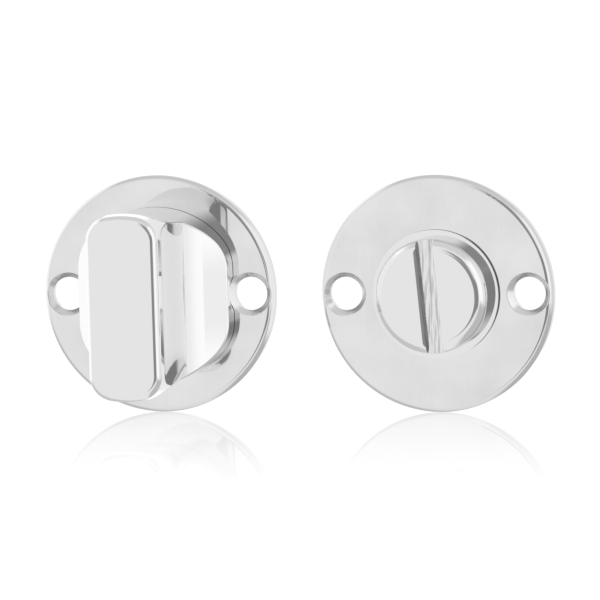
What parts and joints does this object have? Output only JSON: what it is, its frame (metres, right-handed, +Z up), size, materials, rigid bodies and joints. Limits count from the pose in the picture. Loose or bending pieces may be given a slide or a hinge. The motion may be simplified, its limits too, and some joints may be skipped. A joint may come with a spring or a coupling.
{
  "type": "bathroom thumb turn lock",
  "caption": "Polished chrome bathroom lock set: a scooped thumb turn and a slotted coin release, each on a round screw-on rose.",
  "frame": {"origin": "centre of the turn rose's back, on the axis that the turn works about", "axes": "+Z up, +X from the turn to the release, +Y into the door, faces towards -Y"},
  "size_m": [0.1058, 0.0677, 0.048],
  "materials": {
    "chrome": "polished",
    "nylon": "satin",
    "steel": "zinc plated"
  },
  "bodies": {
    "roses": {"turn_rose": "chrome", "turn_bush": "nylon", "release_rose": "chrome", "release_bush": "nylon"},
    "turn": {"thumb_turn": "chrome", "turn_spindle": "steel", "spindle_pin": "steel", "turn_thrust_washer": "steel", "turn_wave_washer": "steel", "turn_circlip": "steel"},
    "release": {"release_knob": "chrome", "release_thrust_washer": "steel", "release_wave_washer": "steel", "release_circlip": "steel"}
  },
  "joints": [
    {"name": "turn_rotation", "type": "hinge", "parent": "roses", "child": "turn", "pos_m": [0, 0, 0], "axis": [0, 1, 0], "range_deg": [-90, 90]},
    {"name": "release_rotation", "type": "hinge", "parent": "roses", "child": "release", "pos_m": [0.0578, 0, 0], "axis": [0, 1, 0], "range_deg": [-90, 90]}
  ]
}
